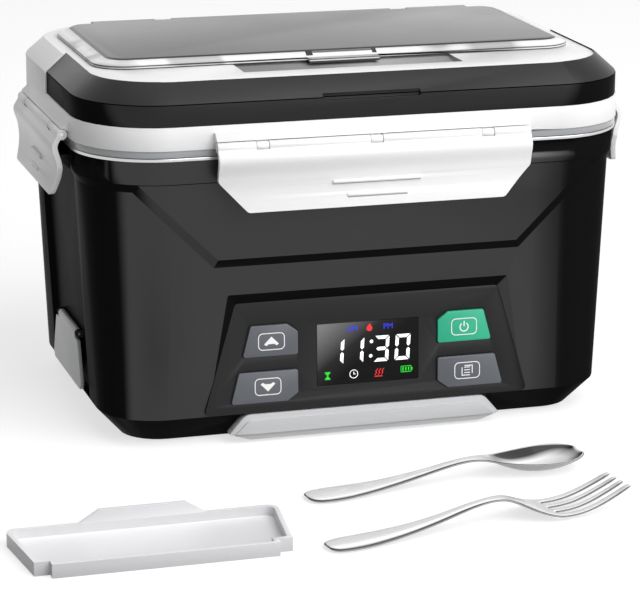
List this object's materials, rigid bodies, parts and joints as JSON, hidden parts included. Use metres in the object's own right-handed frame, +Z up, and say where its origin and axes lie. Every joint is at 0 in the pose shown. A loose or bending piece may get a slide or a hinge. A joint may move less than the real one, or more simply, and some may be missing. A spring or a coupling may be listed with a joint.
{
  "type": "electric lunch box",
  "caption": "Cordless heated lunch box with a clip-down lift-off lid, a smoked cutlery cover and a control panel, with its divider, spoon and fork lying in front.",
  "frame": {"origin": "on the table, under the middle of the box itself; the divider and cutlery lie in front of it, towards -Y", "axes": "+Z up, the control panel faces -Y, +X is to the right when the panel is read"},
  "size_m": [0.3003, 0.3027, 0.1586],
  "materials": {
    "black_shell": "satin",
    "panel_black": "satin",
    "display_glass": "gloss",
    "dark_part": "matt",
    "key_grey": "satin",
    "key_green": "satin",
    "light_grey": "satin",
    "white_plastic": "satin gloss",
    "clear_grey": "gloss",
    "smoked": "gloss",
    "silicone": "matt",
    "foot_rubber": "matt",
    "steel": "brushed",
    "polished_steel": "polished",
    "heater_aluminium": "milled",
    "ceramic_heater": "matt",
    "board_green": "matt",
    "cell_wrap": "gloss",
    "brass_pin": "plated"
  },
  "bodies": {
    "body": {"outer_shell": "black_shell", "base_tray": "black_shell", "front_strip": "light_grey", "rubber_feet": "foot_rubber", "base_screws": "steel", "control_panel": "panel_black", "display_lens": "display_glass", "display_module": "dark_part", "control_board": "board_green", "tact_switches": "dark_part", "well_liner": "dark_part", "heating_plate": "heater_aluminium", "heating_elements": "ceramic_heater", "thermostat": "steel", "heat_shield": "heater_aluminium", "battery_holder": "dark_part", "battery_cells": "cell_wrap", "power_board": "board_green", "power_parts": "dark_part", "charge_inlet": "dark_part", "inlet_pins": "brass_pin", "port_cover_pin": "steel", "food_container": "steel", "container_divider": "white_plastic", "spoon": "polished_steel", "fork": "polished_steel"},
    "lid": {"lid_frame": "white_plastic", "cutlery_tray": "white_plastic", "lid_bumper": "black_shell", "lid_inner": "clear_grey", "lid_seal": "silicone", "steam_valve": "silicone", "cover_pins": "steel", "latch_pins": "steel"},
    "cover": {"utensil_cover": "smoked"},
    "front_latch": {"latch_front": "white_plastic"},
    "rear_latch": {"latch_rear": "white_plastic"},
    "left_latch": {"latch_left": "white_plastic"},
    "right_latch": {"latch_right": "white_plastic"},
    "up_key": {"key_up": "key_grey"},
    "down_key": {"key_down": "key_grey"},
    "power_key": {"key_power": "key_green"},
    "menu_key": {"key_menu": "key_grey"},
    "port_flap": {"port_cover": "light_grey"}
  },
  "joints": [
    {"name": "lid_lift", "type": "slide", "parent": "body", "child": "lid", "axis": [0, 0, 1], "range_m": [0, 0.03]},
    {"name": "front_latch_hinge", "type": "hinge", "parent": "lid", "child": "front_latch", "pos_m": [0, -0.0847, 0.1298], "axis": [-1, 0, 0], "range_deg": [0, 95]},
    {"name": "rear_latch_hinge", "type": "hinge", "parent": "lid", "child": "rear_latch", "pos_m": [0, 0.0847, 0.1298], "axis": [1, 0, 0], "range_deg": [0, 95]},
    {"name": "left_latch_hinge", "type": "hinge", "parent": "lid", "child": "left_latch", "pos_m": [-0.1227, 0, 0.1298], "axis": [0, 1, 0], "range_deg": [0, 95]},
    {"name": "right_latch_hinge", "type": "hinge", "parent": "lid", "child": "right_latch", "pos_m": [0.1227, 0, 0.1298], "axis": [0, -1, 0], "range_deg": [0, 95]},
    {"name": "cover_hinge", "type": "hinge", "parent": "lid", "child": "cover", "pos_m": [0, 0.058, 0.15665], "axis": [-1, 0, 0], "range_deg": [0, 100]},
    {"name": "up_key_press", "type": "slide", "parent": "body", "child": "up_key", "axis": [0, 0.9991, -0.0419], "range_m": [0, 0.0008], "stiffness_N_per_m": 800},
    {"name": "down_key_press", "type": "slide", "parent": "body", "child": "down_key", "axis": [0, 0.9991, -0.0419], "range_m": [0, 0.0008], "stiffness_N_per_m": 800},
    {"name": "power_key_press", "type": "slide", "parent": "body", "child": "power_key", "axis": [0, 0.9991, -0.0419], "range_m": [0, 0.0008], "stiffness_N_per_m": 800},
    {"name": "menu_key_press", "type": "slide", "parent": "body", "child": "menu_key", "axis": [0, 0.9991, -0.0419], "range_m": [0, 0.0008], "stiffness_N_per_m": 800},
    {"name": "port_cover_hinge", "type": "hinge", "parent": "body", "child": "port_flap", "pos_m": [-0.11217, 0, 0.0369], "axis": [0, 1, 0], "range_deg": [0, 105]}
  ],
  "couplings": [
    {"joint": "front_latch_hinge", "follows": "lid_lift", "rad_per_m": 55.2},
    {"joint": "rear_latch_hinge", "follows": "lid_lift", "rad_per_m": 55.2},
    {"joint": "left_latch_hinge", "follows": "lid_lift", "rad_per_m": 55.2},
    {"joint": "right_latch_hinge", "follows": "lid_lift", "rad_per_m": 55.2}
  ]
}
